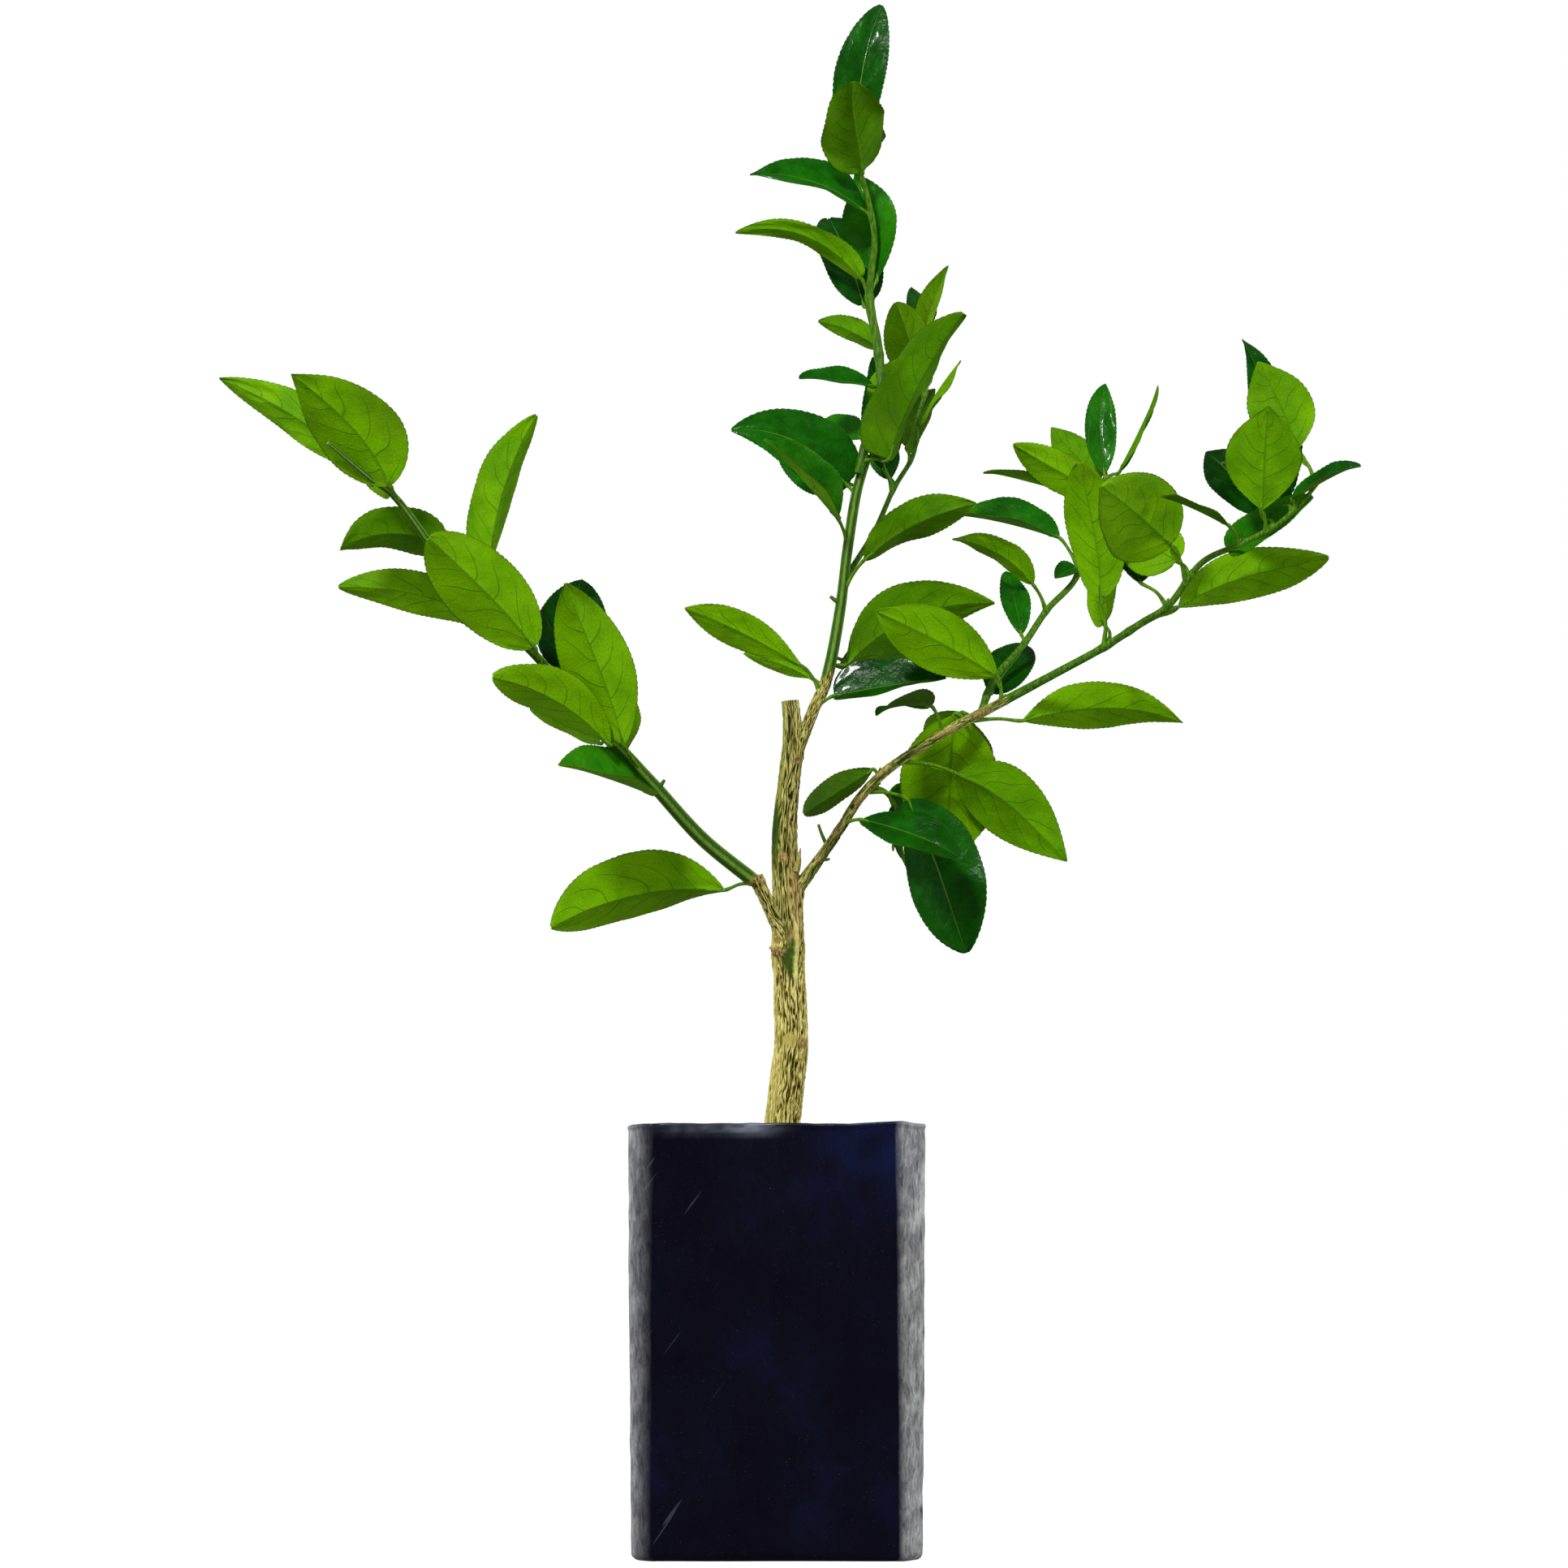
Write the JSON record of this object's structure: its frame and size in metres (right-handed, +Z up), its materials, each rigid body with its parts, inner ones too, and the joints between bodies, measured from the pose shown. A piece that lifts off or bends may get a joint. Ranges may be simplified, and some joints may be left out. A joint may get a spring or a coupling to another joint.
{
  "type": "potted grafted citrus tree",
  "caption": "Young grafted citrus tree with glossy leaves on spreading boughs over a bare pale trunk, standing in a square black planter bag of potting mix.",
  "frame": {"origin": "middle of the planter bag's flat underside", "axes": "+Z up, +X to the right in the front view, -Y towards the front"},
  "size_m": [0.6069, 0.3026, 0.8586],
  "materials": {
    "bag_film": "glossy black polyethylene film",
    "potting_mix": "coarse dark peat and bark",
    "bark": "pale ridged bark with green furrows",
    "foliage": "green leaves, glossy above and matt below"
  },
  "bodies": {
    "root": {"planter_bag": "bag_film", "potting_mix": "potting_mix", "trunk": "bark", "left_spur": "bark", "left_bough": "bark", "leader_bough": "bark", "right_bough": "bark", "left_lowest_leaf": "foliage", "left_inner_foliage": "foliage", "left_outer_foliage": "foliage", "leader_foliage": "foliage", "upper_foliage": "foliage", "top_foliage": "foliage", "side_foliage": "foliage", "right_middle_foliage": "foliage", "right_outer_foliage": "foliage", "right_tip_foliage": "foliage", "right_inner_foliage": "foliage", "right_upper_foliage": "foliage"}
  },
  "joints": []
}
